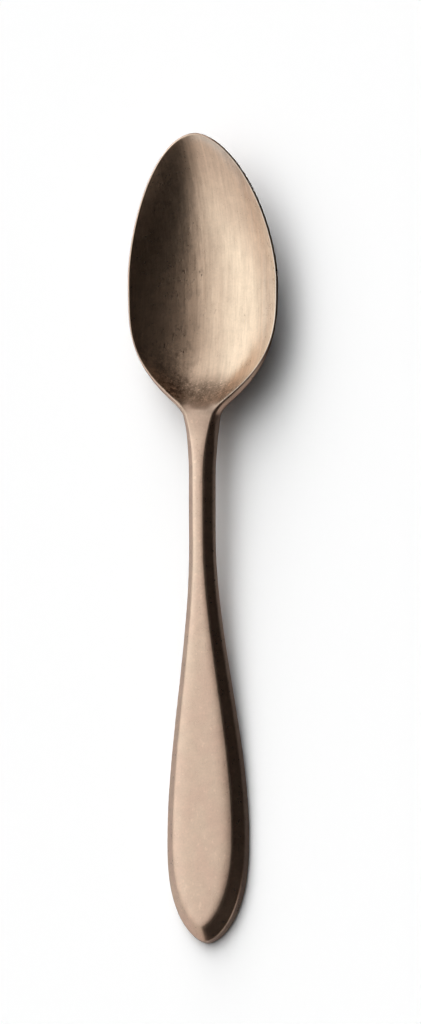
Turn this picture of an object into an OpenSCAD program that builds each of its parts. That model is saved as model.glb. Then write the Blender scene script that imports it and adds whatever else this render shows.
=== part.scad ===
// Dessert spoon in one solid metal piece: an egg-shaped bowl, a slim neck that
// rises from the table, and a broad handle with a bevel all round its flat face.
// The spoon lies on its back with the handle end towards -Y and the tip towards +Y.
// Millimetres. The origin is on the table, under the middle of the spoon's box.

/* [Overall] */
// Length from the end of the handle to the tip of the bowl
spoon_len = 185; // [170:1:205]

/* [Bowl] */
// Greatest width across the outside of the bowl
bowl_w = 38; // [32:0.2:44]
// Length of the bowl's outline, from the point where its shoulders would meet to the tip
bowl_len = 66.5; // [58:0.1:74]
// Distance from the tip back to where the bowl is widest
widest_to_tip = 33.5; // [28:0.5:36]
// Thickness of the metal at the deepest point of the bowl
bowl_wall = 1.3; // [0.9:0.05:2]
// Width of the rim, seen from above
rim_w = 0.55; // [0.4:0.05:1]
// Height of the rim at its lowest point, beside the middle of the bowl
rim_low_z = 7.6; // [6:0.1:10]
// Rise of the rim from its lowest point to the tip
tip_rise = 5.4; // [2:0.1:9]
// Distance from the tip back to the deepest point of the bowl
deepest_to_tip = 37; // [30:0.5:40]
// Distance from the tip back to the crest where the handle's face turns down into the bowl
crest_to_tip = 63.8; // [58:0.1:68]

/* [Neck] */
// Width of the neck at its narrowest
neck_w = 6.7; // [5:0.1:9]
// Thickness of the neck
neck_t = 3; // [2.4:0.1:4]
// Height of the neck's face at its highest
neck_top_z = 8.7; // [8:0.1:12]
// Distance from the crest back to where the neck starts to widen into the handle
neck_to_crest = 29; // [20:0.5:40]
// Length over which the neck spreads out into the shoulders
flare_len = 15.6; // [10:0.1:20]
// What the spread adds to half the neck's width at the crest
flare_w = 1.6; // [0.8:0.1:2.4]

/* [Handle] */
// Greatest width of the handle
palm_w = 20.4; // [15:0.2:26]
// Distance from the handle's end to where it is widest
palm_from_end = 24; // [18:0.5:34]
// Thickness of the handle where it lies on the table
palm_t = 4; // [3:0.1:5]
// Distance from the handle's end to where its back leaves the table
rest_len = 20; // [16:0.5:24]

/* [Bevel] */
// Width of the bevel beside the flat face where the handle is widest
bevel_w_palm = 2.7; // [1.5:0.1:3.2]
// Width of the bevel beside the neck
bevel_w_neck = 2; // [1:0.05:2.2]
// Length of the bevel at the pointed end of the handle
bevel_end_len = 3.7; // [2:0.1:5]
// Fall of the bevel where the handle is widest
bevel_fall_palm = 1.8; // [0.8:0.1:2]
// Fall of the bevel beside the neck
bevel_fall_neck = 1.35; // [0.6:0.05:1.5]

/* [Hidden] */

// Where the parts of the spoon lie, measured from the handle's end
tip_y = spoon_len;
widest_y = tip_y - widest_to_tip;
deepest_y = tip_y - deepest_to_tip;
crest_y = tip_y - crest_to_tip;
bowl_start_y = tip_y - bowl_len;
neck_y = crest_y - neck_to_crest;
flare_y = crest_y - flare_len;
palm_y = palm_from_end;

// The mouth of the bowl starts a little ahead of the outside's shoulders
shoulder_set = 0.5;
mouth_start_y = bowl_start_y + shoulder_set;

// How full the outlines are: the power on the distance, then the power on the rest
tip_full = 1.65;
tip_point = 0.54;
shoulder_full = 3.1;
shoulder_point = 1.05;
mouth_full = 3.5;
mouth_point = 1.45;
end_full = 2.6;
end_point = 0.6;
face_full = 2.15;
face_point = 0.6;

// Width over which the neck's side runs into the shoulder's
shoulder_blend = 2;
flare_power = 2.3;

// The spread stops once it is inside the bowl's own outline
flare_reach = 1.3;

// The face of the neck spreads wider than its outside, because the bevel runs out there
face_flare_w = flare_w + 0.5;

// The rim's height runs down from the neck, then up to the tip
rim_fall_start_y = crest_y + 0.8;
rim_fall_len = 23;
tip_rise_power = 1.9;

// The inside of the bowl: the crest's rounding and how quickly it falls
crest_round = 1.5;
heel_power = 4;
inside_power = 2.3;

// The middle line stops this far short of the two ends, and fans out from there
fan_len = 7;
end_fan_len = 8;

// How the middle line climbs from the deepest point to the tip
tip_curve = 2.3;

// The back: flat with round corners on the handle, a full curve on the bowl
back_power_handle = 8;
back_power_bowl = 2.3;
back_corner = 0.4;
back_drop_start_y = crest_y - 13;
back_drop_len = 36;

// The flat on the back is cut this deep into the handle's rounded back
rest_cut = 0.15;

// How far down the side the sloping edge of the shoulders and of the rim goes
bevel_fall_rim = 0.12;
edge_fall_shoulder = 1.25;
edge_fall_rim = 0.35;

// Where the bevel's lower corner lies between the outside (0) and the face (1)
corner_share_handle = 0.16;
corner_share_shoulder = 0.7;
corner_share_bowl = 0.6;

// Stations along the spoon, in five stretches, and rings across it
end_steps = 14;
handle_steps = 16;
heel_steps = 24;
middle_steps = 7;
tip_steps = 20;
heel_half_len = 15;
face_rings = [0, 0.2, 0.4, 0.58, 0.74, 0.87, 0.95];
back_rings = [0.975, 0.92, 0.84, 0.72, 0.56, 0.38, 0.18, 0];

function square(v) = v * v;
function mix(a, b, t) = a + (b - a) * t;
function clamp(t) = min(1, max(0, t));
function ease(t) = let (c = clamp(t)) c * c * (3 - 2 * c);

// Falls from 1 to 0 as v goes from 0 to 1, round or pointed by its two powers
function nose(v, full, point) = v <= 0 ? 1 : v >= 1 ? 0 : pow(1 - pow(v, full), point);

// The larger of two widths, with a fillet where they meet
function soft_max(a, b, blend) =
    let (h = max(blend - abs(a - b), 0) / blend)
    max(a, b) + h * h * blend / 4;

// How far the neck has widened into the handle: 0 at the neck, 1 where it is widest
function palm_share(y) = ease((neck_y - y) / (neck_y - palm_y));

// Half-widths of the handle and neck
function handle_half(y, neck_half, palm_half, start_y, full, point) =
    mix(neck_half, palm_half, palm_share(y)) * nose((palm_y - y) / (palm_y - start_y), full, point);

function neck_half_at(y, neck_half, flare) =
    neck_half + flare * pow(min(flare_reach, max(0, (y - flare_y) / flare_len)), flare_power);

// Half-widths of the bowl, heel side and tip side
function bowl_half_at(y, half, start_y, end_y, full, point) =
    y < widest_y
    ? half * nose((widest_y - y) / (widest_y - start_y), full, point)
    : half * nose((y - widest_y) / (end_y - widest_y), tip_full, tip_point);

// Half-width of the outside of the spoon
function outside_half(y) =
    y < neck_y
    ? handle_half(y, neck_w / 2, palm_w / 2, 0, end_full, end_point)
    : let (
        neck = neck_half_at(y, neck_w / 2, flare_w),
        bowl = bowl_half_at(y, bowl_w / 2, bowl_start_y, tip_y, shoulder_full, shoulder_point)
      )
      y < bowl_start_y ? neck : y > widest_y ? bowl : soft_max(neck, bowl, shoulder_blend);

// Half-width of the flat face and of the bowl's mouth
function face_half(y) =
    y < neck_y
    ? handle_half(y, neck_w / 2 - bevel_w_neck, palm_w / 2 - bevel_w_palm,
                  bevel_end_len, face_full, face_point)
    : let (
        neck = neck_half_at(y, neck_w / 2 - bevel_w_neck, face_flare_w),
        mouth = bowl_half_at(y, bowl_w / 2 - rim_w, mouth_start_y, tip_y - rim_w,
                             mouth_full, mouth_point)
      )
      y < mouth_start_y ? neck : y > widest_y ? mouth : soft_max(neck, mouth, shoulder_blend);

// Height of the face and of the rim
function top_z(y) =
    y < crest_y
    ? mix(palm_t, neck_top_z, ease((y - rest_len) / (flare_y + 6 - rest_len)))
    : mix(neck_top_z, rim_low_z, ease((y - rim_fall_start_y) / rim_fall_len))
      + tip_rise * pow(clamp((y - rim_fall_start_y - rim_fall_len)
                             / (tip_y - rim_fall_start_y - rim_fall_len)), tip_rise_power);

// Height of the middle line of the face and of the bowl's inside
function heel_share(y) =
    let (d = max(0, y - crest_y), run = sqrt(d * d + crest_round * crest_round) - crest_round)
    clamp(run / (deepest_y - crest_y - crest_round));

function tip_climb(y) = pow(clamp((y - deepest_y) / deepest_to_tip), tip_curve);

function inside_z(y) =
    mix(bowl_wall, top_z(y), pow(1 - heel_share(y), heel_power))
    + (rim_low_z + tip_rise - bowl_wall) * tip_climb(y);

// Height of the middle line of the back
function thickness(y) = mix(neck_t, palm_t, ease((neck_y - y) / (neck_y - rest_len)));

function back_z(y) =
    (top_z(min(y, back_drop_start_y)) - thickness(y))
    * (1 - ease((y - back_drop_start_y) / back_drop_len))
    - rest_cut * palm_share(y)
    + (rim_low_z + tip_rise - edge_fall_rim) * tip_climb(y);

// Slopes of the two middle lines, which the fans at the ends carry on
slope_step = 0.1;
function inside_slope(y) = (inside_z(y + slope_step) - inside_z(y - slope_step)) / (2 * slope_step);
function back_slope(y) = (back_z(y + slope_step) - back_z(y - slope_step)) / (2 * slope_step);

// How much of the way from the neck to the shoulder, and from the shoulder to the open bowl
function shoulder_share(y) = ease((y - crest_y + 9) / 13);
function open_share(y) = ease((y - crest_y - 4) / 16);

// Fall of the bevel's lower corner and of the side's lower corner, below the face
function corner_fall(y) =
    mix(mix(bevel_fall_neck, bevel_fall_palm, palm_share(y)), bevel_fall_rim, shoulder_share(y));

function side_fall(y) =
    let (handle = mix(neck_t, palm_t, palm_share(y)) - back_corner)
    mix(mix(handle, edge_fall_shoulder, shoulder_share(y)), edge_fall_rim, open_share(y));

function corner_share(y) =
    mix(mix(corner_share_handle, corner_share_shoulder, shoulder_share(y)),
        corner_share_bowl, open_share(y));

function back_power(y) =
    mix(back_power_handle, back_power_bowl, ease((y - back_drop_start_y) / (back_drop_len / 2)));

// A station's place on a ring that starts and stops short of the spoon's two ends
function place(s, end_gap, tip_gap) =
    s + end_gap * square(clamp(1 - s / palm_y))
      - tip_gap * square(clamp(1 - (tip_y - s) / widest_to_tip));

// Stations crowd towards both ends, where the outline turns quickly
heel_from_y = crest_y - heel_half_len;
heel_to_y = crest_y + heel_half_len;
stations = concat(
    [for (i = [0:end_steps - 1]) palm_y * square(i / end_steps)],
    [for (i = [0:handle_steps - 1]) mix(palm_y, heel_from_y, i / handle_steps)],
    [for (i = [0:heel_steps - 1]) mix(heel_from_y, heel_to_y, i / heel_steps)],
    [for (i = [0:middle_steps - 1]) mix(heel_to_y, widest_y, i / middle_steps)],
    [for (i = [0:tip_steps]) tip_y - widest_to_tip * square(1 - i / tip_steps)]
);
last = len(stations) - 1;

// A point between the middle line and an edge: it leaves the middle along the slope there,
// and curves up to the edge by a power
function between(middle, slope, edge, u, curve) =
    let (run = edge.y - middle.y)
    [edge.x * u, middle.y + run * u,
     middle.z + slope * run * u + (edge.z - middle.z - slope * run) * pow(u, curve)];

// Points of one half section: up the face, over the bevel, down the side and along the back
function half_section(s) =
    let (
        middle_y = place(s, end_fan_len, fan_len),
        inside = [0, middle_y, inside_z(middle_y)],
        back = [0, middle_y, back_z(middle_y)],
        face_y = place(s, bevel_end_len, rim_w),
        face = [s <= 0 || s >= tip_y ? 0 : face_half(face_y), face_y, top_z(face_y)],
        side = [s <= 0 || s >= tip_y ? 0 : outside_half(s), s, top_z(s) - side_fall(s)],
        share = corner_share(s),
        corner = [mix(side.x, face.x, share), mix(side.y, face.y, share), top_z(s) - corner_fall(s)]
    )
    concat(
        [for (u = face_rings) between(inside, inside_slope(middle_y), face, u, inside_power)],
        [face, corner, side],
        [for (u = back_rings) between(back, back_slope(middle_y), side, u, back_power(s))]
    );

sections = [for (s = stations) half_section(s)];
rings = len(sections[0]);

// The right half's points, then the left half's, which shares the points on the middle plane
function on_middle(i, k) = i == 0 || i == last || k == 0 || k == rings - 1;
function right_id(i, k) = i * rings + k;
function left_id(i, k) = on_middle(i, k) ? right_id(i, k) : (last + 1) * rings + right_id(i, k);

points = concat(
    [for (section = sections) for (p = section) [p.x, p.y - tip_y / 2, p.z]],
    [for (section = sections) for (p = section) [-p.x, p.y - tip_y / 2, p.z]]
);

function real_faces(faces) =
    [for (f = faces) if (f[0] != f[1] && f[1] != f[2] && f[2] != f[0]) f];

// Each four-sided patch is cut along the diagonal that keeps both halves off the middle plane
function patch(a, b, c, d, turned) = turned ? [[a, b, d], [b, c, d]] : [[a, b, c], [a, c, d]];

skin = real_faces([
    for (i = [0:last - 1]) for (k = [0:rings - 2])
    let (turned = (i < last / 2) != (k < rings / 2))
    for (f = concat(
        patch(right_id(i, k), right_id(i + 1, k), right_id(i + 1, k + 1), right_id(i, k + 1), turned),
        patch(left_id(i, k + 1), left_id(i + 1, k + 1), left_id(i + 1, k), left_id(i, k), !turned)
    )) f
]);

module spoon() {
    color([0.8, 0.68, 0.58])
    difference() {
        polyhedron(points, skin);
        translate([-palm_w, -tip_y, -10])
            cube([2 * palm_w, tip_y, 10]);
    }
}

spoon();
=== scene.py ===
# %% [markdown]
# # A dessert spoon in rose-bronze coated steel
# The real spoon is forged and ground from one strip of steel, so this lesson makes one piece:
# an egg-shaped bowl, a slim neck and a broad handle with a bevel round its flat face.
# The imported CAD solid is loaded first. It is a coarse loft of the same shape, and it stays as
# the solid that physics uses, while the piece made here shows in its place.

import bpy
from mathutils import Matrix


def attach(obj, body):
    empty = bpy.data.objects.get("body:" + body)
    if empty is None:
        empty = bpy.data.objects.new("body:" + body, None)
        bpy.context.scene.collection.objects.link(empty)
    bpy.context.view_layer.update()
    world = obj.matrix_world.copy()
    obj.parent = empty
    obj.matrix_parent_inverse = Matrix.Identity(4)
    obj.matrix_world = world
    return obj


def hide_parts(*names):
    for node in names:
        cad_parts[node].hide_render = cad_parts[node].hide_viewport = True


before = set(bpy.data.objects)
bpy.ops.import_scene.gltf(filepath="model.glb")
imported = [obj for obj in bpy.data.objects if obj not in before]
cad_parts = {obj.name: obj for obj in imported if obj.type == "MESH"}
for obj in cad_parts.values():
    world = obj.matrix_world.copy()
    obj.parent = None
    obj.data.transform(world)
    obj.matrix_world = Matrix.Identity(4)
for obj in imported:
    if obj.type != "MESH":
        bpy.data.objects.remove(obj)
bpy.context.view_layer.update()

# %% [markdown]
# ## The spoon's sizes
# A maker would draw the spoon from a few dozen sizes: how long, how wide, how deep, how thick.
# They could be typed into the mesh code where they are used, but then one change means many.
# Here each is named once, in millimetres, and becomes an input of the node tree. The solid
# was made from the same sizes, apart from the last six: the crown of the handle's face and
# the roundings of the edges are too small for the solid, and only this finer piece has them.

# %% Sizes of the spoon in millimetres
MM = 0.001

SPOON_SIZES = {
    "Spoon Length": 185.0,
    "Bowl Width": 38.0,
    "Bowl Length": 66.5,
    "Widest To Tip": 33.5,
    "Bowl Wall": 1.3,
    "Rim Width": 0.55,
    "Rim Low Height": 7.6,
    "Tip Rise": 5.4,
    "Deepest To Tip": 37.0,
    "Crest To Tip": 63.8,
    "Neck Width": 6.7,
    "Neck Thickness": 3.0,
    "Neck Height": 8.7,
    "Neck To Crest": 29.0,
    "Flare Length": 15.6,
    "Flare Width": 1.6,
    "Palm Width": 20.4,
    "Palm From End": 24.0,
    "Palm Thickness": 4.0,
    "Rest Length": 20.0,
    "Bevel Width At Palm": 2.7,
    "Bevel Width At Neck": 2.0,
    "Bevel Length At End": 3.7,
    "Bevel Fall At Palm": 1.8,
    "Bevel Fall At Neck": 1.35,
    "Face Crown At Palm": 0.22,
    "Face Crown At Neck": 0.11,
    "Ridge Rounding On Face": 0.3,
    "Ridge Rounding On Bevel": 0.45,
    "Corner Rounding": 0.3,
    "Edge Rounding": 0.5,
}
print(len(SPOON_SIZES), "sizes")

# %% [markdown]
# ## Arithmetic that makes nodes
# The outline of a spoon is a rule: half the width as a function of the place along it. In a
# node tree such a rule is a chain of Math nodes, which is slow to make one by one. So a small
# class stands for a number that flows along a link. When two of them are added, a Math node
# appears in the tree, and the formulas below read as they would on paper. The coat, the table
# and the lights are painted with the same class further down.

# %% Helpers that add nodes
import bpy

NODES_A_ROW = 30
NODE_STEP = (190, 190)


def add_node(tree, kind, inputs=None, **settings):
    """Adds a node with these settings and inputs, in the next free place of the tree."""
    row, column = divmod(len(tree.nodes), NODES_A_ROW)
    node = tree.nodes.new(kind)
    node.location = (column * NODE_STEP[0], -row * NODE_STEP[1])
    for name, value in settings.items():
        setattr(node, name, value)
    for name, value in (inputs or {}).items():
        connect(value, node.inputs[name])
    return node


def connect(value, socket):
    """Links a flowing value to a socket, or writes a plain value into it."""
    if isinstance(value, Flow):
        value = value.socket
    if isinstance(value, bpy.types.NodeSocket):
        socket.id_data.links.new(value, socket)
    else:
        socket.default_value = value


class Flow:
    """A number that flows along a link. Arithmetic on it adds Math nodes."""

    def __init__(self, socket):
        self.socket = socket

    def __add__(self, other):
        return calculate("ADD", self, other)

    def __sub__(self, other):
        return calculate("SUBTRACT", self, other)

    def __rsub__(self, other):
        return calculate("SUBTRACT", other, self)

    def __mul__(self, other):
        return calculate("MULTIPLY", self, other)

    def __truediv__(self, other):
        return calculate("DIVIDE", self, other)

    def __rtruediv__(self, other):
        return calculate("DIVIDE", other, self)

    def __pow__(self, power):
        return calculate("POWER", self, power)

    def __gt__(self, other):
        return calculate("GREATER_THAN", self, other)

    def __lt__(self, other):
        return calculate("LESS_THAN", self, other)

    __radd__ = __add__
    __rmul__ = __mul__


made_before = {}


def calculate(operation, *values, clamped=False):
    """One Math node on flowing or plain numbers. The same sum reuses the node made before."""
    key = (operation, clamped, *(value.socket if isinstance(value, Flow) else value
                                 for value in values))
    if key not in made_before:
        tree = next(value.socket.id_data for value in values if isinstance(value, Flow))
        node = add_node(tree, "ShaderNodeMath", dict(enumerate(values)),
                        operation=operation, use_clamp=clamped)
        made_before[key] = Flow(node.outputs[0])
    return made_before[key]


# %% Small rules that the outlines share
def clamp(value):
    return calculate("ADD", value, 0.0, clamped=True)


def mix(start, end, share):
    return start + (end - start) * share


def ease(value):
    """Climbs smoothly from 0 to 1 as the value does."""
    key = ("ease", value.socket)
    if key not in made_before:
        node = add_node(value.socket.id_data, "ShaderNodeMapRange", {"Value": value},
                        interpolation_type="SMOOTHSTEP")
        made_before[key] = Flow(node.outputs[0])
    return made_before[key]


def band(value, low, high):
    """0 before low, 1 past high, and smooth in between. High may be the lesser of the two."""
    return ease((value - low) / (high - low))


def nose(value, full, point):
    """Falls from 1 to 0 as the value goes from 0 to 1, round or pointed by its two powers."""
    return (1 - clamp(value) ** full) ** point


def larger(first, second):
    return calculate("MAXIMUM", first, second)


def smaller(first, second):
    return calculate("MINIMUM", first, second)


def soft_larger(first, second, blend):
    """The larger of two widths, with a fillet where they meet."""
    closeness = larger(blend - calculate("ABSOLUTE", first - second), 0) / blend
    return larger(first, second) + closeness ** 2 * blend / 4


def choose(condition, yes, no):
    """The first value where the condition is 1, and the second where it is 0."""
    tree = condition.socket.id_data
    node = add_node(tree, "GeometryNodeSwitch",
                    {"Switch": condition, "True": yes, "False": no}, input_type="FLOAT")
    return Flow(node.outputs[0])


def three_axes(tree, vector):
    """The x, y and z of a flowing vector, each as a number of its own."""
    split = add_node(tree, "ShaderNodeSeparateXYZ", {0: vector})
    return [Flow(socket) for socket in split.outputs]


# %% [markdown]
# ## A tree with named sizes
# The spoon could be pushed and pulled out of a box, or its outline drawn as curves. But a
# spoon is a textbook loft: every cross-section follows from the place along it. So a
# Geometry Nodes tree takes a flat grid and moves each of its points onto the spoon: one side
# of the grid counts the stations along the spoon, and the other the rings across it.

# %% Start the loft's tree
loft = bpy.data.node_groups.new("spoon_loft", "GeometryNodeTree")
loft.is_modifier = True
loft.interface.new_socket("Geometry", in_out="OUTPUT", socket_type="NodeSocketGeometry")
for name, value in SPOON_SIZES.items():
    socket = loft.interface.new_socket(name, in_out="INPUT", socket_type="NodeSocketFloat")
    socket.default_value = value
loft_inputs = add_node(loft, "NodeGroupInput")
size = {name: Flow(loft_inputs.outputs[name]) for name in SPOON_SIZES}
print(loft.name, "has", len(size), "inputs")

# %% Where the parts of the spoon lie, measured from the handle's end
tip_y = size["Spoon Length"]
widest_y = tip_y - size["Widest To Tip"]
deepest_y = tip_y - size["Deepest To Tip"]
crest_y = tip_y - size["Crest To Tip"]
bowl_start_y = tip_y - size["Bowl Length"]
neck_y = crest_y - size["Neck To Crest"]
flare_y = crest_y - size["Flare Length"]
palm_y = size["Palm From End"]

# %% [markdown]
# ## The two outlines seen from above
# The outside runs round the whole spoon. The inner line is the edge of the handle's flat face,
# which goes over into the mouth of the bowl. Each is one formula: the neck's half-width, mixed
# towards the palm's, times a rounded nose at the end, and the bowl's egg shape from two more
# noses, joined to the neck by a fillet. A drawn curve would do as well, but a formula keeps
# its character when the sizes change.

# %% Half-widths of the outside and of the face
# The two powers of each nose say how full it is and how pointed.
SHOULDER_SET = 0.5
FLARE_POWER = 2.3
FLARE_REACH = 1.3
FACE_FLARE_EXTRA = 0.5
SHOULDER_BLEND = 2.0
END_NOSE = (2.6, 0.6)
FACE_END_NOSE = (2.15, 0.6)
TIP_NOSE = (1.65, 0.54)
SHOULDER_NOSE = (3.1, 1.05)
MOUTH_NOSE = (3.5, 1.45)


def palm_share(y):
    """0 at the neck, 1 where the handle is widest."""
    return ease((neck_y - y) / (neck_y - palm_y))


def neck_and_handle(y, neck_half, palm_half, flare, start_y, end_nose):
    spread = flare * smaller(larger((y - flare_y) / size["Flare Length"], 0),
                             FLARE_REACH) ** FLARE_POWER
    return (mix(neck_half + spread, palm_half, palm_share(y))
            * nose((palm_y - y) / (palm_y - start_y), *end_nose))


def with_bowl(y, neck_half, bowl_half, start_y, end_y, heel_nose):
    bowl = (bowl_half * nose((widest_y - y) / (widest_y - start_y), *heel_nose)
            * nose((y - widest_y) / (end_y - widest_y), *TIP_NOSE))
    joined = soft_larger(neck_half, bowl, SHOULDER_BLEND)
    return choose(y > widest_y, bowl, choose(y > start_y, joined, neck_half))


def outside_half(y):
    neck_half = neck_and_handle(y, size["Neck Width"] / 2, size["Palm Width"] / 2,
                                size["Flare Width"], 0.0, END_NOSE)
    return with_bowl(y, neck_half, size["Bowl Width"] / 2, bowl_start_y, tip_y, SHOULDER_NOSE)


def face_half(y):
    neck_half = neck_and_handle(y, size["Neck Width"] / 2 - size["Bevel Width At Neck"],
                                size["Palm Width"] / 2 - size["Bevel Width At Palm"],
                                size["Flare Width"] + FACE_FLARE_EXTRA,
                                size["Bevel Length At End"], FACE_END_NOSE)
    return with_bowl(y, neck_half, size["Bowl Width"] / 2 - size["Rim Width"],
                     bowl_start_y + SHOULDER_SET, tip_y - size["Rim Width"], MOUTH_NOSE)


# %% [markdown]
# ## The heights seen from the side
# The handle lies on the table, the neck climbs, and the rim dips beside the bowl and climbs
# again to the tip. Under the rim the bowl's floor falls away from the crest at the neck, and
# the back follows it about one wall's thickness lower. All of it could be sculpted, but rules
# for the floor and the back keep the wall's thickness in hand.

# %% Heights of the face, the bowl's inside and the back
NECK_CLIMB_END = 6.0
RIM_FALL_START = 0.8
RIM_FALL_LENGTH = 23.0
TIP_RISE_POWER = 1.9
CREST_ROUND = 1.5
HEEL_POWER = 4.0
FAN_LENGTH = 7.0
END_FAN_LENGTH = 8.0
TIP_CURVE = 2.3
BACK_DROP_BEFORE_CREST = 13.0
BACK_DROP_LENGTH = 36.0
REST_CUT = 0.15
SIDE_FALL_RIM = 0.35


def top_z(y):
    """Height of the handle's face and of the bowl's rim."""
    climb = ease((y - size["Rest Length"]) / (flare_y + NECK_CLIMB_END - size["Rest Length"]))
    fall_start = crest_y + RIM_FALL_START
    fall = ease((y - fall_start) / RIM_FALL_LENGTH)
    low_y = fall_start + RIM_FALL_LENGTH
    rise = clamp((y - low_y) / (tip_y - low_y)) ** TIP_RISE_POWER
    return (size["Palm Thickness"] + (size["Neck Height"] - size["Palm Thickness"]) * climb
            - (size["Neck Height"] - size["Rim Low Height"]) * fall + size["Tip Rise"] * rise)


def tip_climb(y):
    """How the middle line climbs from the deepest point, 0, to the tip, 1."""
    return clamp((y - deepest_y) / size["Deepest To Tip"]) ** TIP_CURVE


def inside_z(y):
    past_crest = larger(y - crest_y, 0)
    run = calculate("SQRT", past_crest ** 2 + CREST_ROUND ** 2) - CREST_ROUND
    floor_share = clamp(run / (deepest_y - crest_y - CREST_ROUND))
    return (mix(size["Bowl Wall"], top_z(y), (1 - floor_share) ** HEEL_POWER)
            + (size["Rim Low Height"] + size["Tip Rise"] - size["Bowl Wall"]) * tip_climb(y))


def back_z(y):
    drop_start = crest_y - BACK_DROP_BEFORE_CREST
    thickness = mix(size["Neck Thickness"], size["Palm Thickness"],
                    ease((neck_y - y) / (neck_y - size["Rest Length"])))
    drop = ease((y - drop_start) / BACK_DROP_LENGTH)
    return ((top_z(smaller(y, drop_start)) - thickness) * (1 - drop)
            - REST_CUT * palm_share(y)
            + (size["Rim Low Height"] + size["Tip Rise"] - SIDE_FALL_RIM) * tip_climb(y))


def slope(rule, y, step=0.1):
    """How steeply a height rule climbs at y."""
    return (rule(y + step) - rule(y - step)) / (2 * step)


# %% [markdown]
# ## Stations and rings
# A plain grid carries the loft. Its stations crowd where the outline turns quickly: at both
# ends and at the heel, where the neck goes over into the bowl. Its rings are in seven strips:
# the face, the rounded ridge, the bevel, the rounded corner below it, the side, the rounded
# lower edge and the back. Even spacing would be simpler, but it would need far more stations
# and rings for outlines that look as smooth.

# %% The grid, and which station and ring each of its points is on
STATION_STEPS = {"end": 40, "handle": 60, "heel": 90, "middle": 30, "tip": 64}
RING_STEPS = {"face": 20, "ridge": 7, "bevel": 5, "corner": 5, "side": 4, "edge": 6, "back": 20}
HEEL_HALF_LENGTH = 15.0
station_count = sum(STATION_STEPS.values()) + 1
ring_count = sum(RING_STEPS.values()) + 1

grid = add_node(loft, "GeometryNodeMeshGrid",
                {"Vertices X": station_count, "Vertices Y": ring_count})
index = Flow(add_node(loft, "GeometryNodeInputIndex").outputs[0])
station = calculate("FLOOR", (index + 0.5) / ring_count)
ring = index - station * ring_count
print(station_count, "stations with", ring_count, "rings each")


# %% The place along the spoon of each station
def stretch_shares(counter, steps):
    """For each stretch of the counter, a share that goes from 0 to 1 along it."""
    shares, first = {}, 0
    for name, count in steps.items():
        shares[name] = clamp((counter - first) / count)
        first += count
    return shares


along = stretch_shares(station, STATION_STEPS)
heel_from_y, heel_to_y = crest_y - HEEL_HALF_LENGTH, crest_y + HEEL_HALF_LENGTH
station_y = (palm_y * along["end"] ** 2
             + (heel_from_y - palm_y) * along["handle"]
             + (heel_to_y - heel_from_y) * along["heel"]
             + (widest_y - heel_to_y) * along["middle"]
             + size["Widest To Tip"] * (1 - (1 - along["tip"]) ** 2))


def set_back(end_gap, tip_gap):
    """The station's place on a line that stops short of the spoon's two ends."""
    near_end = clamp(1 - station_y / palm_y) ** 2
    near_tip = clamp(1 - (tip_y - station_y) / size["Widest To Tip"]) ** 2
    return station_y + end_gap * near_end - tip_gap * near_tip


# %% [markdown]
# ## One half section
# Across the spoon, three points carry the section: the edge of the face, the lower corner of
# the bevel, and the outside. The face and the back reach them from the middle line as curves.
# The three corners are then rounded as a polishing wheel rounds them, each by a short curve
# that starts and ends on its neighbours. A Bevel modifier could round them too, but here each
# rounding has rings of its own and a named size.

# %% Points and lines of the section
def blend_points(start, end, share):
    return tuple(mix(a, b, share) for a, b in zip(start, end))


def distance(start, end):
    return calculate("SQRT", sum(((a - b) ** 2 for a, b in zip(start, end)), 0))


def between(middle_y, rule, edge, share, power):
    """A point from the middle line, share 0, to an edge, share 1. It leaves along the slope."""
    middle_z, run = rule(middle_y), edge[1] - middle_y
    climb = slope(rule, middle_y) * run
    return (edge[0] * share, middle_y + run * share,
            middle_z + climb * share + (edge[2] - middle_z - climb) * share ** power)


def rounded(start, corner, end, share):
    """A curve from start to end that is drawn towards the corner."""
    return blend_points(blend_points(start, corner, share),
                        blend_points(corner, end, share), share)


# %% Rules that change along the spoon
CORNER_FALL_RIM = 0.12
SIDE_FALL_SHOULDER = 1.25
BACK_CORNER = 0.4
CORNER_SHARES = {"handle": 0.16, "shoulder": 0.7, "bowl": 0.6}
FACE_POWERS = {"palm": 6.0, "neck": 2.5, "bowl": 2.3}
BACK_POWERS = {"handle": 8.0, "bowl": 2.3}
SHOULDER_BEFORE_CREST, SHOULDER_LENGTH = 9, 13
OPEN_AFTER_CREST, OPEN_LENGTH = 4, 16

shoulder_share = ease((station_y - crest_y + SHOULDER_BEFORE_CREST) / SHOULDER_LENGTH)
open_share = ease((station_y - crest_y - OPEN_AFTER_CREST) / OPEN_LENGTH)
palm_here = palm_share(station_y)
corner_fall = mix(mix(size["Bevel Fall At Neck"], size["Bevel Fall At Palm"], palm_here),
                  CORNER_FALL_RIM, shoulder_share)
handle_fall = mix(size["Neck Thickness"], size["Palm Thickness"], palm_here) - BACK_CORNER
side_fall = mix(mix(handle_fall, SIDE_FALL_SHOULDER, shoulder_share), SIDE_FALL_RIM, open_share)
corner_share = mix(mix(CORNER_SHARES["handle"], CORNER_SHARES["shoulder"], shoulder_share),
                   CORNER_SHARES["bowl"], open_share)
drop_share = ease((station_y - crest_y + BACK_DROP_BEFORE_CREST) / (BACK_DROP_LENGTH / 2))
back_power = mix(BACK_POWERS["handle"], BACK_POWERS["bowl"], drop_share)
face_power = mix(mix(FACE_POWERS["neck"], FACE_POWERS["palm"], palm_here),
                 FACE_POWERS["bowl"], shoulder_share)
crown = (mix(size["Face Crown At Neck"], size["Face Crown At Palm"], palm_here)
         * (1 - shoulder_share))


def crowned_z(y):
    """The middle of the face is a hair higher than its edges."""
    return inside_z(y) + crown


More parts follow.
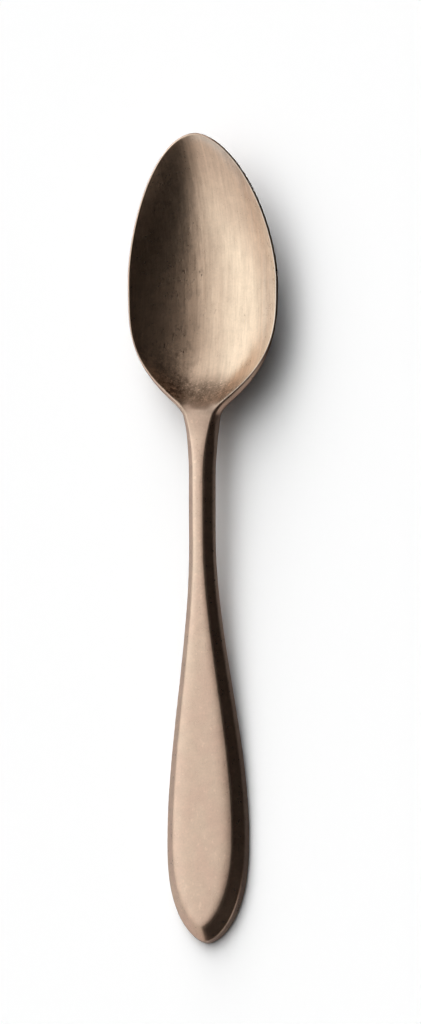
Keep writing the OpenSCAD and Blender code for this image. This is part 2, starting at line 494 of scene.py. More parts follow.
# %% The three points that carry the section
middle_y = set_back(END_FAN_LENGTH, FAN_LENGTH)
face_y = set_back(size["Bevel Length At End"], size["Rim Width"])
face_point = (face_half(face_y), face_y, top_z(face_y))
side_point = (outside_half(station_y), station_y, top_z(station_y) - side_fall)
corner_plan = blend_points(side_point, face_point, corner_share)
corner_point = (corner_plan[0], corner_plan[1], top_z(station_y) - corner_fall)

# %% How far each rounding reaches, as a share of the line it cuts
LONGEST_CUT = 0.45


def cut_share(rounding, start, end):
    """A rounding in millimetres as a share of a line. The cap keeps two from meeting."""
    return smaller(rounding / distance(start, end), LONGEST_CUT)


middle_point = (0.0, middle_y, crowned_z(middle_y))
ridge_on_face = cut_share(size["Ridge Rounding On Face"], middle_point, face_point)
ridge_on_bevel = cut_share(size["Ridge Rounding On Bevel"], face_point, corner_point)
corner_on_bevel = cut_share(size["Corner Rounding"], face_point, corner_point)
corner_on_side = cut_share(size["Corner Rounding"], corner_point, side_point)
edge_on_side = cut_share(size["Edge Rounding"], corner_point, side_point)
edge_on_back = cut_share(size["Edge Rounding"], middle_point, side_point)

# %% The seven strips of the section
CROWDING = 1.7
across = stretch_shares(ring, RING_STEPS)


def on_face(share):
    return between(middle_y, crowned_z, face_point, share, face_power)


def on_back(share):
    return between(middle_y, back_z, side_point, share, back_power)


def crowd_at_end(share):
    """Sends evenly spaced rings closer together towards the edge."""
    return 1 - (1 - share) ** CROWDING


bevel_start = blend_points(face_point, corner_point, ridge_on_bevel)
bevel_end = blend_points(corner_point, face_point, corner_on_bevel)
side_start = blend_points(corner_point, side_point, corner_on_side)
side_end = blend_points(side_point, corner_point, edge_on_side)
strips = [
    on_face(crowd_at_end(across["face"]) * (1 - ridge_on_face)),
    rounded(on_face(1 - ridge_on_face), face_point, bevel_start, across["ridge"]),
    blend_points(bevel_start, bevel_end, ease(across["bevel"])),
    rounded(bevel_end, corner_point, side_start, across["corner"]),
    blend_points(side_start, side_end, ease(across["side"])),
    rounded(side_end, side_point, on_back(1 - edge_on_back), across["edge"]),
    on_back(crowd_at_end(1 - across["back"]) * (1 - edge_on_back)),
]
print(len(strips), "strips from", len(loft.nodes), "nodes")

# %% [markdown]
# ## From the grid to one half of the spoon
# An Index Switch picks the strip that each ring belongs to, and Set Position moves the grid's
# points there. Nothing goes below the table: the underside of the handle is ground flat.
# The tree also writes down what the finish needs to know at each point: how far it is inside
# the bowl, how close to the bowl's heel or to the neck's side just before it, which gets
# painted shade, where a pale sheen is painted on the rim, and whether it is on a ridge that
# hands polish, which also gets a painted highlight. The finish could find these places by
# their coordinates, but the loft already knows them as stations and rings.

# %% Pick the strip and move the grid's points
strip_number, first_ring = 0, 0
for count in list(RING_STEPS.values())[:-1]:
    first_ring += count
    strip_number = (ring > first_ring + 0.5) + strip_number

picker = add_node(loft, "GeometryNodeIndexSwitch", data_type="VECTOR")
while len(picker.index_switch_items) < len(strips):
    picker.index_switch_items.new()
connect(strip_number, picker.inputs["Index"])
for number, (x, y, z) in enumerate(strips):
    point = add_node(loft, "ShaderNodeCombineXYZ",
                     {"X": x, "Y": y - tip_y / 2, "Z": larger(z, 0)})
    connect(point.outputs[0], picker.inputs[str(number)])
in_metres = add_node(loft, "ShaderNodeVectorMath",
                     {0: picker.outputs[0], "Scale": MM}, operation="SCALE")
shaped = add_node(loft, "GeometryNodeSetPosition",
                  {"Geometry": grid.outputs["Mesh"], "Position": in_metres.outputs[0]})

# %% Write down where the finish changes
# Places along the spoon are in millimetres past the crest, towards the tip.
BOWL_STARTS = (0.5, 4.0)
HEEL_STARTS, HEEL_ENDS = (-0.6, 1.0), (9.5, 5.0)
# the neck's sides just before the crest get painted shade
NECK_SIDE_STARTS, NECK_SIDE_ENDS = (-6.5, -2.5), (2.0, 0.0)
NECK_SIDE_SHADE = 0.75
# a pale sheen painted on the bowl's rim
RIM_SHEEN_STARTS = (1.0, 6.0)
RIM_SHEEN_ACROSS = (0.45, 0.9)
# the ridges are paler, partly from rubbing wear and partly as a painted highlight
RIDGE_WEAR_AND_HIGHLIGHT_ACROSS = (0.9, 1.0)

on_face_strip = ring < RING_STEPS["face"] + RING_STEPS["ridge"] - 0.5
past_crest = station_y - crest_y
in_heel = band(past_crest, *HEEL_STARTS) * band(past_crest, *HEEL_ENDS)
on_neck_side = band(past_crest, *NECK_SIDE_STARTS) * band(past_crest, *NECK_SIDE_ENDS)
finish_masks = {
    "bowl_inside": on_face_strip * band(past_crest, *BOWL_STARTS),
    # the heel's patina, and painted shade on the neck's sides before it
    "heel_patina_and_neck_shade": on_face_strip * (in_heel + on_neck_side * NECK_SIDE_SHADE),
    # a pale sheen painted on the bowl's rim
    "rim_painted_sheen": (on_face_strip * band(past_crest, *RIM_SHEEN_STARTS)
                 * band(across["face"], *RIM_SHEEN_ACROSS)),
    # ridges: partly rubbing wear, partly a painted highlight
    "ridge_wear_and_highlight": (on_face_strip * ease(1 - calculate("ABSOLUTE", across["ridge"] * 2 - 1))
                   * band(across["face"], *RIDGE_WEAR_AND_HIGHLIGHT_ACROSS)),
}
stored = shaped.outputs["Geometry"]
for name, value in finish_masks.items():
    stored = add_node(loft, "GeometryNodeStoreNamedAttribute",
                      {"Geometry": stored, "Name": name, "Value": value},
                      data_type="FLOAT", domain="POINT").outputs["Geometry"]
print("masks:", ", ".join(finish_masks))

# %% [markdown]
# ## The other half, and a closed skin
# The grid's faces come out looking into the metal, so they are flipped. The second half is the
# unflipped one mirrored, since a mirror turns faces round by itself. Then the halves are
# joined and their shared middle points merged. A Mirror modifier could do this, but the tree
# would then end with an open half. The two rows of quads at the very ends have corners in
# line, so those few are cut along their shorter diagonal.

# %% Mirror, join and close
MERGE_DISTANCE = 0.0005

# Stations are whole numbers, so a half tells one from the next.
first_row = station < 0.5
last_row = station > station_count - 2.5
halved = add_node(loft, "GeometryNodeTriangulate",
                  {"Mesh": stored, "Selection": larger(first_row, last_row)},
                  quad_method="SHORTEST_DIAGONAL")
flipped = add_node(loft, "GeometryNodeFlipFaces", {"Mesh": halved.outputs["Mesh"]})
mirrored = add_node(loft, "GeometryNodeTransform",
                    {"Geometry": halved.outputs["Mesh"], "Scale": (-1, 1, 1)})
joined = add_node(loft, "GeometryNodeJoinGeometry", {"Geometry": flipped.outputs["Mesh"]})
connect(mirrored.outputs["Geometry"], joined.inputs["Geometry"])
merged = add_node(loft, "GeometryNodeMergeByDistance",
                  {"Geometry": joined.outputs["Geometry"], "Distance": MERGE_DISTANCE * MM})
smooth = add_node(loft, "GeometryNodeSetShadeSmooth", {"Geometry": merged.outputs["Geometry"]})
realized = add_node(loft, "GeometryNodeRealizeInstances",
                    {"Geometry": smooth.outputs["Geometry"]})
print(loft.name, "has", len(loft.nodes), "nodes")

# %% [markdown]
# ## The rose-bronze coat
# The steel is coated in a thin rose-bronze layer and then tumbled with small stones, which
# leaves a satin surface with a fine mottle. Such a coat could be a photograph laid over the
# mesh, but that keeps the light and shadow of one room. A metal has no colour of its own apart
# from how it tints what it reflects, so the coat is a Principled shader with Metallic at 1,
# and all its detail is in the tint, the roughness and very shallow bumps.

# %% A start on the coat's material
# The numbers in this rule are the ones that define a screen's colours.
def linear(red, green, blue):
    """A colour as a screen shows it, 0 to 255, as the linear numbers that a shader takes."""
    def one(value):
        share = value / 255
        return share / 12.92 if share <= 0.04045 else ((share + 0.055) / 1.055) ** 2.4
    return (one(red), one(green), one(blue), 1.0)


ROSE_BRONZE = linear(220, 191, 171)
PINK_BRONZE = linear(219, 187, 168)
BRUSHED_BRONZE = linear(216, 189, 166)
# paler ridges: partly rubbing wear, partly a painted highlight
WORN_AND_HIGHLIT_BRONZE = linear(222, 198, 177)
# a pale sheen painted on the bowl's right rim
PALE_BRONZE = linear(229, 214, 201)
# brown for patina, and for painted shade on the neck's sides
PATINA_AND_SHADE_BROWN = linear(107, 87, 75)

coat = bpy.data.materials.new("rose_bronze_coat")
coat.use_nodes = True
coat.node_tree.nodes.clear()
coat_tree = coat.node_tree
coat_output = add_node(coat_tree, "ShaderNodeOutputMaterial")
metal = add_node(coat_tree, "ShaderNodeBsdfPrincipled", {"Metallic": 1.0})
connect(metal.outputs["BSDF"], coat_output.inputs["Surface"])
place = add_node(coat_tree, "ShaderNodeTexCoord").outputs["Object"]


# %% Textures measured in millimetres
def grain(cell, detail=2.0, roughness=0.5, shift=0.0):
    """Noise from 0 to 1 whose cells have this size in millimetres; 0 leaves an axis out."""
    scale = tuple(1 / (side * MM) if side else 0.0 for side in cell)
    mapping = add_node(coat_tree, "ShaderNodeMapping",
                       {"Vector": place, "Scale": scale, "Location": (shift, shift, shift)})
    noise = add_node(coat_tree, "ShaderNodeTexNoise",
                     {"Vector": mapping.outputs[0], "Scale": 1.0, "Detail": detail,
                      "Roughness": roughness})
    return Flow(noise.outputs[0])


def mask(name):
    """What the loft wrote down for each point under this name."""
    return Flow(add_node(coat_tree, "ShaderNodeAttribute", attribute_name=name).outputs["Fac"])


bowl_inside = mask("bowl_inside")
# the heel's patina, and painted shade on the neck's sides before it
heel_patina_and_neck_shade = mask("heel_patina_and_neck_shade")
# ridges: partly rubbing wear, partly a painted highlight
ridge_wear_and_highlight = mask("ridge_wear_and_highlight")
# a pale sheen painted on the bowl's rim
rim_painted_sheen = mask("rim_painted_sheen")

# %% [markdown]
# ## Where the spoon was brushed, and where it is darker
# The inside of the bowl looks brushed lengthwise, and some places are darker. The bowl's heel
# has a darker patina, a strip of brown blotches and pits runs along the bowl's left half, and
# the bowl's lower left is darker and browner too. The neck's sides just before the heel get a
# painted shade in the same brown, more towards their right edge. Such places could be painted
# by hand. Here each is a soft band along x or y, multiplied by the masks.

# %% Places that are darker, in millimetres
PATINA_STRIP_X, PATINA_STRIP_HALF = -8.0, 7.0
PATINA_STRIP_Y = (25.0, 40.0)
LOWER_LEFT_X, LOWER_LEFT_Y = (-2.0, -10.0), (52.0, 36.0)

place_x, place_y, _ = three_axes(coat_tree, place)
across_strip = calculate("ABSOLUTE", place_x / MM - PATINA_STRIP_X) / PATINA_STRIP_HALF
patina_strip = (1 - clamp(across_strip)) * band(place_y / MM, *PATINA_STRIP_Y) * bowl_inside
lower_left = (band(place_x / MM, *LOWER_LEFT_X) * band(place_y / MM, *LOWER_LEFT_Y)
              * bowl_inside)

# %% [markdown]
# ## Mottle, streaks, specks and scratches
# Several patterns lie over each other, each a noise with cells of its own size in
# millimetres. The stones leave a fine speckle and a broader mottle everywhere, and a slow
# blush turns the rose pinker in places. Brushing leaves streaks along the bowl. Blotches,
# pits and pale specks belong to the patina, and outside the bowl there are pale flecks and
# hairline scratches. A band keeps only the peaks of a noise, and a narrow one gives crisp
# spots.

# %% Mottle and streaks
mottle = grain((2.4, 2.4, 2.4), detail=3.0)
speckle = grain((0.5, 0.5, 0.5), detail=3.0, roughness=0.6)
blush = grain((5.0, 7.0, 5.0), detail=2.0, shift=29.0)
fine_streaks = grain((0.45, 6.0, 0), detail=3.0, roughness=0.65)
broad_streaks = grain((1.8, 15.0, 0), detail=2.0, shift=3.0)

# %% Blotches, pits and pale specks
BLOTCH_PEAKS, PIT_PEAKS, PIT_FIELD_PEAKS = (0.5, 0.68), (0.6, 0.74), (0.62, 0.76)
SPECK_PEAKS, SPECK_PLACES = (0.57, 0.67), (0.1, 1.0)
MORE_IN_STRIP, MORE_LOWER_LEFT, SOME_IN_BOWL = 0.25, 0.5, 0.08

blotches = (band(grain((1.3, 2.6, 1.3), detail=4.0, roughness=0.6, shift=31.0), *BLOTCH_PEAKS)
            * patina_strip)
pit_field = grain((5.0, 7.0, 0), detail=2.0, shift=7.0)
pits = (band(grain((0.6, 1.1, 0.6), shift=11.0), *PIT_PEAKS)
        * band(pit_field + patina_strip * MORE_IN_STRIP, *PIT_FIELD_PEAKS) * bowl_inside)
speck_places = (heel_patina_and_neck_shade + patina_strip * MORE_IN_STRIP + lower_left * MORE_LOWER_LEFT
                + bowl_inside * SOME_IN_BOWL)
pale_specks = (band(grain((0.4, 0.4, 0.4), shift=17.0), *SPECK_PEAKS)
               * band(speck_places, *SPECK_PLACES) * bowl_inside)

# %% Flecks and scratches outside the bowl
FLECK_PEAKS, SCRATCH_PEAKS = (0.6, 0.72), (0.68, 0.8)

flecks = (band(grain((0.9, 1.3, 0.9), detail=3.0, shift=23.0), *FLECK_PEAKS)
          * (1 - bowl_inside))
scratches = (band(grain((0.13, 4.5, 0), detail=1.0, shift=37.0), *SCRATCH_PEAKS)
             * (1 - bowl_inside))

# %% [markdown]
# ## One tint from all the patterns
# The patterns could each have a shader of their own, mixed one after another. One tint is
# simpler: a tone, about 1 on average, that makes the coat lighter or darker, and a share of
# brown: patina at the heel and in blotches and pits, painted shade on the neck's sides, and a
# darker brown at the bowl's lower left. The tone is capped, because a metal whose colour goes
# past 1 renders with black dots. Under the brown the colour changes between rose and pink with
# the blush, and has its own rose where the bowl is brushed. It is paler on the ridges, partly
# from rubbing wear and partly as a painted highlight, and paler still on the bowl's right rim,
# where a pale sheen is painted.

# %% The tone, lighter or darker
BRIGHTEST_TONE = 1.2
MOTTLE_TONE = 0.3
STREAK_TONE = 0.42
BLUSH_TONE = 0.18
FLECK_TONE = 0.13
SPECK_TONE = 0.22
SCRATCH_TONE = 0.24

streak_tone = (((fine_streaks - 0.5) + (broad_streaks - 0.5)) * STREAK_TONE
               + (blush - 0.5) * BLUSH_TONE) * bowl_inside
tone = smaller(BRIGHTEST_TONE,
               1 + (mottle - 0.5) * MOTTLE_TONE + (speckle - 0.5) * MOTTLE_TONE + streak_tone
               + flecks * FLECK_TONE + pale_specks * SPECK_TONE - scratches * SCRATCH_TONE)

# %% The share of brown patina and painted shade
# painted shade on the neck's sides, darker towards their right edge
NECK_SHADE, NECK_SHADE_RIGHT, NECK_RIGHT_X = 0.3, 0.25, (-1.0, 3.5)
HEEL_PEAKS = (0.1, 0.8)
PATINA_AND_SHADE_SHARES = {"heel": 0.78, "lower left": 0.7, "blotches": 0.45, "pits": 0.7,
                 "pale specks": 0.35}

neck_shade = NECK_SHADE + band(place_x / MM, *NECK_RIGHT_X) * NECK_SHADE_RIGHT
heel_grain = grain((0.9, 0.9, 0.9), detail=4.0, roughness=0.6, shift=5.0)
heel_mottle_and_neck_shade = mix(neck_shade, band(heel_grain, *HEEL_PEAKS), bowl_inside)
mottled_patina_and_shade = (heel_patina_and_neck_shade * PATINA_AND_SHADE_SHARES["heel"]
                  + lower_left * PATINA_AND_SHADE_SHARES["lower left"]) * heel_mottle_and_neck_shade
dark_share = clamp(mottled_patina_and_shade + blotches * PATINA_AND_SHADE_SHARES["blotches"]
                   + pits * PATINA_AND_SHADE_SHARES["pits"]
                   - pale_specks * PATINA_AND_SHADE_SHARES["pale specks"])
print("patina in", len(PATINA_AND_SHADE_SHARES), "patterns")


# %% From rose to brown
# A Mix node keeps a set of sockets for each kind of value, so the colours go by number.
MIX_SHARE, MIX_FIRST, MIX_SECOND, MIX_RESULT = 0, 6, 7, 2


def blend_colours(share, first, second):
    node = add_node(coat_tree, "ShaderNodeMix",
                    {MIX_SHARE: share, MIX_FIRST: first, MIX_SECOND: second},
                    data_type="RGBA")
    return node.outputs[MIX_RESULT]


# the second pair keeps the painted pale sheen to the rim's right side
PINK_PEAKS, RIM_SHEEN_X = (0.35, 0.65), (-6.0, 6.0)
BRUSHED_SHARE, RIDGE_SHARE = 0.8, 0.5

blushed = blend_colours(band(blush, *PINK_PEAKS), PINK_BRONZE, ROSE_BRONZE)
brushed = blend_colours(bowl_inside * BRUSHED_SHARE, blushed, BRUSHED_BRONZE)
# a pale sheen painted on the bowl's right rim
sheened_rim = blend_colours(rim_painted_sheen * band(place_x / MM, *RIM_SHEEN_X), brushed, PALE_BRONZE)
# the ridges paler: partly rubbing wear, partly a painted highlight
worn_and_highlit = blend_colours(ridge_wear_and_highlight * RIDGE_SHARE, sheened_rim, WORN_AND_HIGHLIT_BRONZE)
# brown patina, and painted shade on the neck's sides
tarnished_and_shaded = blend_colours(dark_share, worn_and_highlit, PATINA_AND_SHADE_BROWN)
toned = add_node(coat_tree, "ShaderNodeVectorMath", {0: tarnished_and_shaded, "Scale": tone},
                 operation="SCALE")
connect(toned.outputs[0], metal.inputs["Base Color"])

# %% Gloss and shallow bumps of the coat
SATIN = 0.3
ROUGHER = {"mottle": 0.08, "speckle": 0.12, "patina": 0.12, "ridges": 0.1}
BUMP_DEPTH = 0.02
HEIGHTS = {"speckle": 0.5, "mottle": 0.8, "broad streaks": 2.2, "fine streaks": 0.7,
           "pits": 0.8, "scratches": 0.15, "flecks": 0.1}

roughness = (SATIN + (mottle - 0.5) * ROUGHER["mottle"] + (speckle - 0.5) * ROUGHER["speckle"]
             + dark_share * ROUGHER["patina"] + ridge_wear_and_highlight * ROUGHER["ridges"])
connect(roughness, metal.inputs["Roughness"])
streak_height = ((broad_streaks - 0.5) * HEIGHTS["broad streaks"]
                 + (fine_streaks - 0.5) * HEIGHTS["fine streaks"])
height = ((speckle - 0.5) * HEIGHTS["speckle"] + (mottle - 0.5) * HEIGHTS["mottle"]
          + streak_height * bowl_inside - pits * HEIGHTS["pits"]
          - scratches * HEIGHTS["scratches"] + flecks * HEIGHTS["flecks"])
bumps = add_node(coat_tree, "ShaderNodeBump",
                 {"Strength": 1.0, "Distance": BUMP_DEPTH * MM, "Height": height})
connect(bumps.outputs[0], metal.inputs["Normal"])
print("coat:", len(coat_tree.nodes), "nodes")

# %% [markdown]
# ## Run the tree and keep a plain mesh
# The tree ends by giving the mesh its material. The modifier's inputs are set by the
# identifiers of their sockets, the object is evaluated once, and the result is copied into a
# mesh of its own, so that the finished piece carries no modifier.

# %% Finish the tree
coated = add_node(loft, "GeometryNodeSetMaterial",
                  {"Geometry": realized.outputs["Geometry"], "Material": coat})
loft_output = add_node(loft, "NodeGroupOutput")
connect(coated.outputs["Geometry"], loft_output.inputs["Geometry"])

# %% Make the spoon
spoon = bpy.data.objects.new("dessert_spoon", bpy.data.meshes.new("dessert_spoon"))
bpy.context.scene.collection.objects.link(spoon)
lofting = spoon.modifiers.new("loft", "NODES")
lofting.node_group = loft
for item in loft.interface.items_tree:
    if item.in_out == "INPUT":
        lofting[item.identifier] = SPOON_SIZES[item.name]
evaluated = spoon.evaluated_get(bpy.context.evaluated_depsgraph_get())
spoon_mesh = bpy.data.meshes.new_from_object(evaluated, preserve_all_data_layers=True,
                                             depsgraph=bpy.context.evaluated_depsgraph_get())
spoon.modifiers.remove(lofting)
spoon.data = spoon_mesh
spoon_mesh.name = "dessert_spoon_mesh"
print("spoon:", len(spoon_mesh.vertices), "points,", len(spoon_mesh.polygons), "faces")

# %% Put it in the frame
# The solid stays hidden. It gets the coat too, so that its slot has the same finish.
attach(spoon, "root")
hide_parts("spoon")
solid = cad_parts["spoon"]
solid.data.materials.clear()
solid.data.materials.append(coat)

# %% [markdown]
# ## The table
# The spoon lies on a white table that keeps its shadow. A matt white surface sends back less
# light than falls on it, so under light from one side it would render grey. More light would
# also change the spoon, so the table's colour is raised for what the camera sees, through
# Light Path, and it stays duller for the light that bounces on.

# %% A white table
TABLE_HALF = 4.0
TABLE_DROP = 0.02 * MM

table_mesh = bpy.data.meshes.new("table")
table_mesh.from_pydata(
    [(-TABLE_HALF, -TABLE_HALF, -TABLE_DROP), (TABLE_HALF, -TABLE_HALF, -TABLE_DROP),
     (TABLE_HALF, TABLE_HALF, -TABLE_DROP), (-TABLE_HALF, TABLE_HALF, -TABLE_DROP)],
    [], [(0, 1, 2, 3)])
table = bpy.data.objects.new("table", table_mesh)
bpy.context.scene.collection.objects.link(table)

# %% [markdown]
# ## What the metal mirrors of the table
# The spoon's steep sides mirror the table close by. In the photograph what they mirror is
# pale on the left and nearly black on the right. So light and shade are painted into the
# table's colour for glossy rays: a painted light on the left and a painted shade on the right.
# It changes along the spoon: from the handle's end past the palm, the neck and the bowl to the
# tip. One grey for all of it would be simpler, but then both sides would look alike. Each pair
# below is where a change starts and ends along x or y.

# %% How pale the table looks in the metal
MIRRORED_LEFT, MIRRORED_LEFT_END = 0.5, 0.27
MIRRORED_BY_PALM, MIRRORED_BY_NECK, MIRRORED_BY_BOWL = 0.08, 0.14, 0.05
LIT_SIDE_ENDS = (14 * MM, -6 * MM)
END_SIDE_ENDS = (-150 * MM, -95 * MM)
PALM_SIDE_ENDS = (-50 * MM, -5 * MM)
BOWL_SIDE_ENDS = (22 * MM, 38 * MM)
TIP_SIDE_ENDS = (86 * MM, 96 * MM)
TIP_SIDE_SHIFT = 12 * MM

white = bpy.data.materials.new("white_table")
white.use_nodes = True
white_tree = white.node_tree
white_tree.nodes.clear()
ray = add_node(white_tree, "ShaderNodeLightPath")
on_table = add_node(white_tree, "ShaderNodeTexCoord").outputs["Object"]
table_x, table_y, _ = three_axes(white_tree, on_table)
beyond_tip = band(table_y, *TIP_SIDE_ENDS)
lit_side = band(table_x + beyond_tip * TIP_SIDE_SHIFT, *LIT_SIDE_ENDS)
by_handle = mix(MIRRORED_BY_PALM, MIRRORED_BY_NECK, band(table_y, *PALM_SIDE_ENDS))
mirrored_right = mix(by_handle, MIRRORED_BY_BOWL, band(table_y, *BOWL_SIDE_ENDS))
mirrored_left = mix(MIRRORED_LEFT_END, MIRRORED_LEFT, band(table_y, *END_SIDE_ENDS))
# painted light on the table's left and painted shade on its right, seen only in the metal
mirrored_white = mix(mirrored_right, mirrored_left, lit_side)

# %% The table's colour for each kind of ray
BOUNCED_WHITE = 0.4
SEEN_WHITE = 1.04

level = (BOUNCED_WHITE + (SEEN_WHITE - BOUNCED_WHITE) * Flow(ray.outputs["Is Camera Ray"])
         + (mirrored_white - BOUNCED_WHITE) * Flow(ray.outputs["Is Glossy Ray"]))
matt = add_node(white_tree, "ShaderNodeBsdfDiffuse", {"Color": level})
add_node(white_tree, "ShaderNodeOutputMaterial", {"Surface": matt.outputs[0]})
table_mesh.materials.append(white)
print("table:", 2 * TABLE_HALF, "m square")

# %% [markdown]
# ## A small light tent
# What the metal mirrors tells of a large soft box close by on the left and of a dark room on
# the right: the bowl's left half, which faces right, is dark in the photograph. A
# world's sky is endlessly far away, so every part of the spoon would mirror the same piece of
# it. A near light is seen from another side by the handle than by the bowl, so a sphere stands
# round the spoon and glows by two angles: how far a place on it leans to the left of straight
# up, and how far it lies towards the spoon's tip. Area lamps are the usual way, but a soft
# edge that slants is easier to paint than to build from lamps. Only the metal sees the sphere.

# %% A sphere round the spoon
import math

import bmesh
from mathutils import Matrix, Vector

TENT_RADIUS = 0.35
TENT_CENTRE = Vector((0.0, 0.055, 0.0))
TENT_SEGMENTS = 64

shell = bmesh.new()
bmesh.ops.create_uvsphere(shell, u_segments=TENT_SEGMENTS, v_segments=TENT_SEGMENTS // 2,
                          radius=TENT_RADIUS, matrix=Matrix.Translation(TENT_CENTRE))
tent_mesh = bpy.data.meshes.new("light_tent")
shell.to_mesh(tent_mesh)
shell.free()
tent = bpy.data.objects.new("light_tent", tent_mesh)
bpy.context.scene.collection.objects.link(tent)
for kind_of_ray in ("camera", "diffuse", "shadow", "transmission", "volume_scatter"):
    setattr(tent, "visible_" + kind_of_ray, False)

glow = bpy.data.materials.new("tent_glow")
glow.use_nodes = True
glow.node_tree.nodes.clear()
glow.cycles.emission_sampling = "NONE"
tent_mesh.materials.append(glow)
print("tent:", len(tent_mesh.polygons), "faces")


# %% Two angles for each direction
DEGREES = math.degrees(1)


def two_angles(tree, direction):
    """In degrees: how far it leans left of straight up, and how far towards the tip."""
    to_right, to_tip, to_sky = three_axes(tree, direction)
    return (calculate("ARCTAN2", to_right * -1, to_sky) * DEGREES,
            calculate("ARCSINE", to_tip) * DEGREES)


def bell(angle, centre, reach):
    """1 at the centre, fading evenly to both sides."""
    return calculate("EXPONENT", ((angle - centre) / reach) ** 2 * -1)


# %% [markdown]
# ## The soft box and the dark room
# The box fills the left of the tent. Its edge towards the dark room slants and is sharpest
# towards the handle, and the box is weaker near the horizon and towards both ends of the
# spoon. A round glow beyond the tip is mirrored by what faces the tip, such as the bowl's
# heel, and a dim wall low on the right, beyond the handle's end, by what faces that way. The
# angles were fitted to how bright the metal is in the photograph, and so was the tint: where
# the metal mirrors dim light it looks warmer than where it mirrors bright light.

# %% Strengths and angles of the light
BOX_LIGHT = 1.73
ROOM_LIGHT = 0.016
BOX_EDGE_FROM, BOX_EDGE_TO = -5.5, 28
EDGE_SLANT = 0.36
EDGE_SPREAD = 0.7
SHARPEST_AT = -31
BOX_HORIZON = (65, 83)
BOX_HANDLE_END = (-110, 24)
BOX_TIP_END = (22, 57)
HORIZON_SLANT = 1.33
HORIZON_LOSS = 0.3
HANDLE_END_LEFT_OVER = 0.29
TIP_END_LOSS = 0.84
GLOW_LIGHT = 0.8
GLOW_LEFT = (10.5, 24)
GLOW_TIP = (48, 29)
WALL_LIGHT = 0.6
WALL_LEFT = (-50, -72)
WALL_TIP = (-34, -50)

# %% Paint the tent by its angles
glow_tree = glow.node_tree
on_tent = add_node(glow_tree, "ShaderNodeTexCoord").outputs["Object"]
from_centre = add_node(glow_tree, "ShaderNodeMapping",
                       {"Vector": on_tent, "Location": -TENT_CENTRE / TENT_RADIUS,
                        "Scale": [1 / TENT_RADIUS] * 3})
left_angle, tip_angle = two_angles(glow_tree, from_centre.outputs[0])
edge_start = BOX_EDGE_FROM - tip_angle * EDGE_SLANT
edge_end = BOX_EDGE_TO + calculate("ABSOLUTE", tip_angle - SHARPEST_AT) * EDGE_SPREAD
to_horizon = band(left_angle - tip_angle * HORIZON_SLANT, *BOX_HORIZON)
across_light = band(left_angle, edge_start, edge_end) * (1 - HORIZON_LOSS * to_horizon)
along_light = (mix(HANDLE_END_LEFT_OVER, 1, band(tip_angle, *BOX_HANDLE_END))
               * (1 - TIP_END_LOSS * band(tip_angle, *BOX_TIP_END)))
box_light = (ROOM_LIGHT + BOX_LIGHT * across_light * along_light
             + GLOW_LIGHT * bell(left_angle, *GLOW_LEFT) * bell(tip_angle, *GLOW_TIP)
             + WALL_LIGHT * band(left_angle, *WALL_LEFT) * band(tip_angle, *WALL_TIP))

# %% Tint the light by its strength
LIGHT_TINTS = {0.05: (1.0, 0.84, 0.73), 0.4: (1.0, 0.92, 0.83), 0.8: (1.0, 0.985, 0.96),
               1.45: (0.905, 1.0, 1.0)}
BRIGHTEST = 2.0

tint = add_node(glow_tree, "ShaderNodeValToRGB", {"Fac": box_light / BRIGHTEST})
stops = tint.color_ramp.elements
while len(stops) < len(LIGHT_TINTS):
    stops.new(0.5)
for stop, (strength, colour) in zip(stops, LIGHT_TINTS.items()):
    stop.position = strength / BRIGHTEST
    stop.color = (*colour, 1.0)
lit = add_node(glow_tree, "ShaderNodeEmission",
               {"Color": tint.outputs["Color"], "Strength": box_light})
add_node(glow_tree, "ShaderNodeOutputMaterial", {"Surface": lit.outputs[0]})
print("light tints:", len(stops))

# %% [markdown]
# ## A broad light on the table
# The table's shadows tell of a second, much broader light high up beyond the spoon's tip: they
# fall to the right and towards the handle, and they are soft. That one is the world, again
# painted by the two angles, and the camera sees plain white where it looks past the table.
# A very large lamp would do too, but the world needs no place and no size. The tent keeps it
# out of what the metal mirrors.

# %% The world
TABLE_FILL = 0.03
TABLE_LIGHT = 10.4
TABLE_LIGHT_LEFT = (27, 42)
TABLE_LIGHT_TIP = (89, 56)

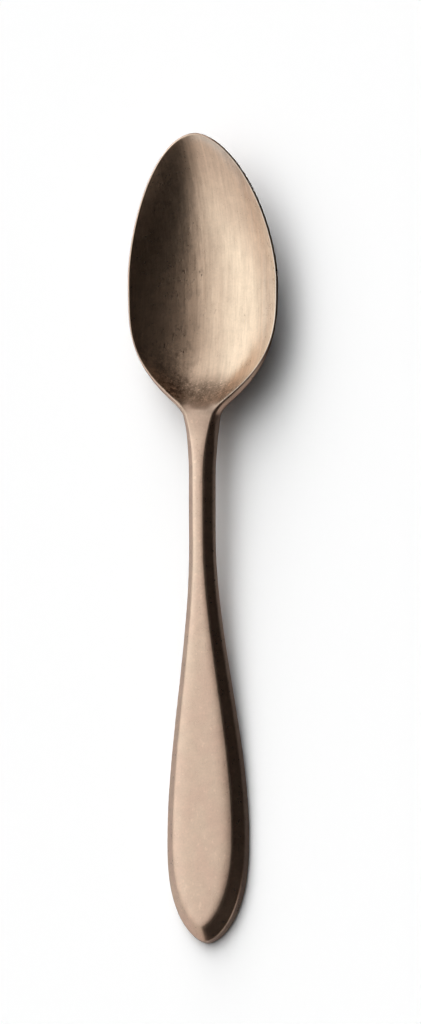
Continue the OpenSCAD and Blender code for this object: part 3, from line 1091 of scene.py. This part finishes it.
world = bpy.data.worlds.new("studio")
bpy.context.scene.world = world
world.use_nodes = True
world.node_tree.nodes.clear()
world.cycles.sampling_method = "NONE"
studio = world.node_tree
direction = add_node(studio, "ShaderNodeTexCoord").outputs["Generated"]
left_angle, tip_angle = two_angles(studio, direction)
table_light = (TABLE_FILL + TABLE_LIGHT * bell(left_angle, *TABLE_LIGHT_LEFT)
               * bell(tip_angle, *TABLE_LIGHT_TIP))
camera_ray = Flow(add_node(studio, "ShaderNodeLightPath").outputs["Is Camera Ray"])
sky = add_node(studio, "ShaderNodeBackground",
               {"Color": (1, 1, 1, 1), "Strength": mix(table_light, 1.0, camera_ray)})
add_node(studio, "ShaderNodeOutputWorld", {"Surface": sky.outputs[0]})
print("world:", len(studio.nodes), "nodes")

# %% [markdown]
# ## The camera
# The photograph looks down at the spoon, tilted towards its right side, from far away. The
# lens is long, so that near and far parts keep their true proportions, and the picture's
# height takes in a fixed length of table. A short lens close by would also fit the spoon in,
# but it would make the parts nearest to it look too large.

# %% A long lens above the table
CAMERA_TILT = math.radians(25)
CAMERA_ROLL = math.radians(0.66)
CAMERA_DISTANCE = 3.2
PICTURE_HEIGHT = 233.9 * MM
LOOKED_AT = Vector((-0.84, 6.17, 0.0)) * MM
FARTHEST_SEEN = 20.0

camera_data = bpy.data.cameras.new("camera")
camera = bpy.data.objects.new("camera", camera_data)
bpy.context.scene.collection.objects.link(camera)
bpy.context.scene.camera = camera
camera_data.lens = camera_data.sensor_width * CAMERA_DISTANCE / PICTURE_HEIGHT
camera_data.clip_end = FARTHEST_SEEN
back_axis = Vector((math.sin(CAMERA_TILT), 0, math.cos(CAMERA_TILT)))
up_axis = Vector((0, 1, 0))
right_axis = up_axis.cross(back_axis)
turned = Matrix((right_axis, up_axis, back_axis)).transposed().to_4x4()
camera.matrix_world = (Matrix.Translation(LOOKED_AT + back_axis * CAMERA_DISTANCE) @ turned
                       @ Matrix.Rotation(CAMERA_ROLL, 4, "Z"))
bpy.context.scene.view_settings.view_transform = "Standard"
print("lens:", round(camera_data.lens), "mm")
